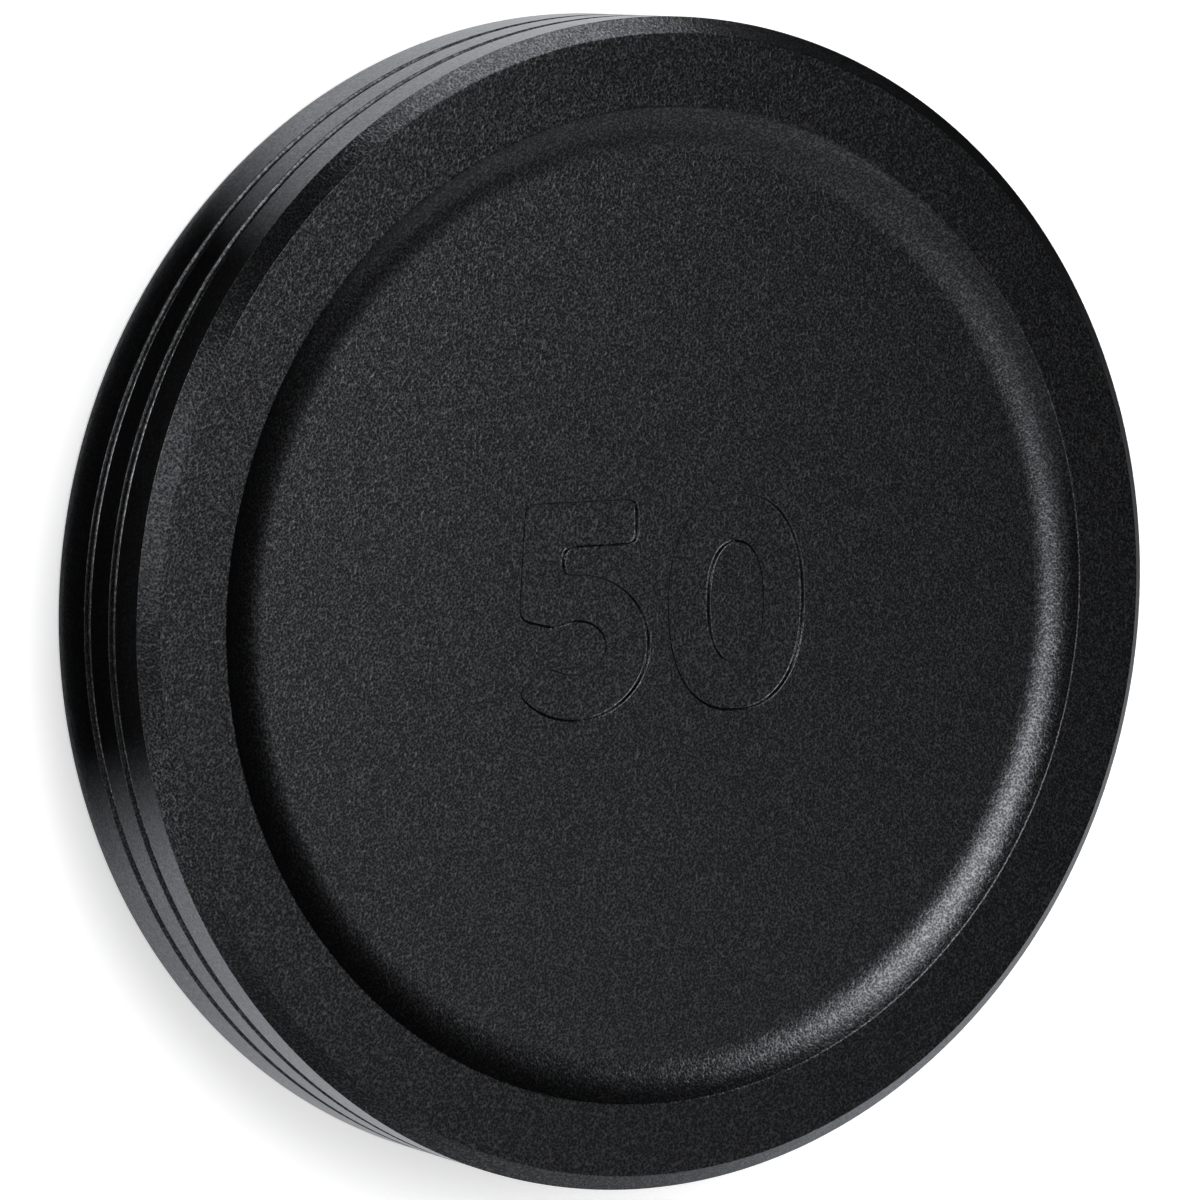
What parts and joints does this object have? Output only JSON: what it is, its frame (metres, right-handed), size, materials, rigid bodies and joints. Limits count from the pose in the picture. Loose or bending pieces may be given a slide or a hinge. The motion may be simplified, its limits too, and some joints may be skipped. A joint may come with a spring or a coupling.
{
  "type": "camera lens cap",
  "caption": "Round slip-on metal lens cap with a dished front, a chamfered edge, grip grooves round its skirt and a felt lining that holds the lens rim.",
  "frame": {"origin": "centre of the open rear rim, on the surface the cap lies on", "axes": "+Z along the turning axis, out of the dished front face; +X to the right and +Y up as the number on the face is read"},
  "size_m": [0.06, 0.06, 0.0094],
  "materials": {
    "anodised_body": "bead blasted and black anodised",
    "felt": "short black felt"
  },
  "bodies": {
    "root": {"cap_body": "anodised_body", "grip_lining": "felt"}
  },
  "joints": []
}
